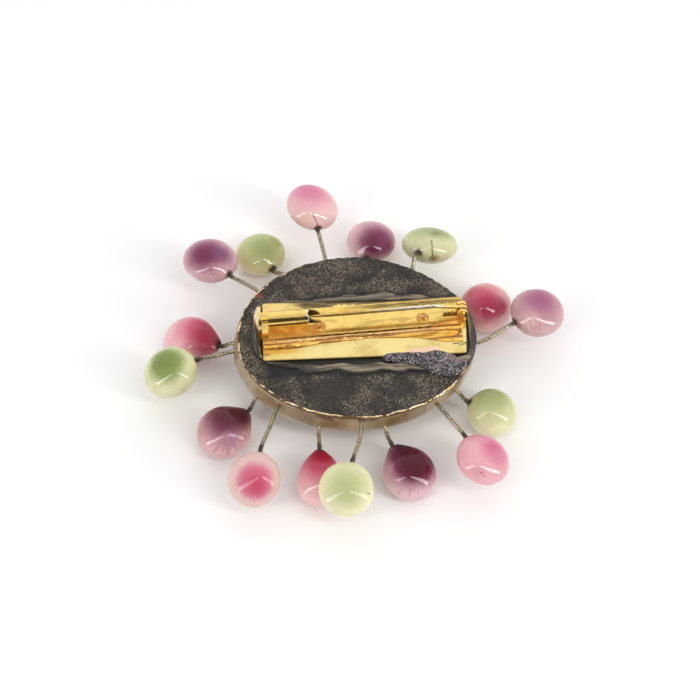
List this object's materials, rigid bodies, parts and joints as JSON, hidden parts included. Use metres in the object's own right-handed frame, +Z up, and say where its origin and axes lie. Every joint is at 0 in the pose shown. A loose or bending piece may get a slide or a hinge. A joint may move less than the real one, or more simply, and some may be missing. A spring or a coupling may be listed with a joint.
{
  "type": "resin brooch",
  "caption": "Oval resin brooch lying on its front, with round resin drops on bent wires around it and a gold pin back with a hinged pin and a sliding catch.",
  "frame": {"origin": "on the surface the brooch lies on, under the middle of its whole outline", "axes": "+Z up, out of the pinned back; +X along the row's longest extent, to the right in the picture; +Y away from the viewer"},
  "size_m": [0.072, 0.067, 0.0173],
  "materials": {
    "taupe_resin": "semi-gloss, brown and gold streaks",
    "charcoal_back": "rough charcoal with pale speckle",
    "putty": "matt set putty",
    "gold_sheet": "polished gold-coloured sheet",
    "gold_bar": "polished gold-coloured finding",
    "amber_glue": "clear amber glue",
    "grit": "glittering grey grit",
    "steel_pin": "drawn steel wire, polished",
    "silvered_pump": "gold-coloured, worn silvery on the knob",
    "aged_wire": "wrapped wire, mottled grey and gold",
    "pink_resin": "glossy, pink running out to a cream rim",
    "purple_resin": "glossy, plum running out to a cream rim",
    "green_resin": "glossy, sage running out to a cream rim"
  },
  "bodies": {
    "body": {"oval_body": "taupe_resin", "back_layer": "charcoal_back", "clay_bed": "putty", "backing_sheet": "gold_sheet", "pin_bar": "gold_bar", "glue_plug_left": "amber_glue", "glue_plug_right": "amber_glue", "glue_seam": "amber_glue", "grit_patch": "grit", "hinge_rivet": "gold_bar", "wire_01": "aged_wire", "wire_02": "aged_wire", "wire_03": "aged_wire", "wire_04": "aged_wire", "wire_05": "aged_wire", "wire_06": "aged_wire", "wire_07": "aged_wire", "wire_08": "aged_wire", "wire_09": "aged_wire", "wire_10": "aged_wire", "wire_11": "aged_wire", "wire_12": "aged_wire", "wire_13": "aged_wire", "wire_14": "aged_wire", "wire_15": "aged_wire", "wire_16": "aged_wire", "drop_01_pink": "pink_resin", "drop_02_purple": "purple_resin", "drop_03_green": "green_resin", "drop_04_pink": "pink_resin", "drop_05_purple": "purple_resin", "drop_06_green": "green_resin", "drop_07_pink": "pink_resin", "drop_08_purple": "purple_resin", "drop_09_green": "green_resin", "drop_10_pink": "pink_resin", "drop_11_pink": "pink_resin", "drop_12_purple": "purple_resin", "drop_13_green": "green_resin", "drop_14_pink": "pink_resin", "drop_15_purple": "purple_resin", "drop_16_green": "green_resin"},
    "pin": {"pin_stem": "steel_pin"},
    "pump": {"pump": "silvered_pump"}
  },
  "joints": [
    {"name": "pin_hinge", "type": "hinge", "parent": "body", "child": "pin", "pos_m": [0.01809, 0.0035, 0.01344], "axis": [-0.0976, 0.9952, 0], "range_deg": [0, 85]},
    {"name": "pump_slide", "type": "slide", "parent": "body", "child": "pump", "axis": [0.9952, 0.0976, 0], "range_m": [0, 0.0011]}
  ]
}
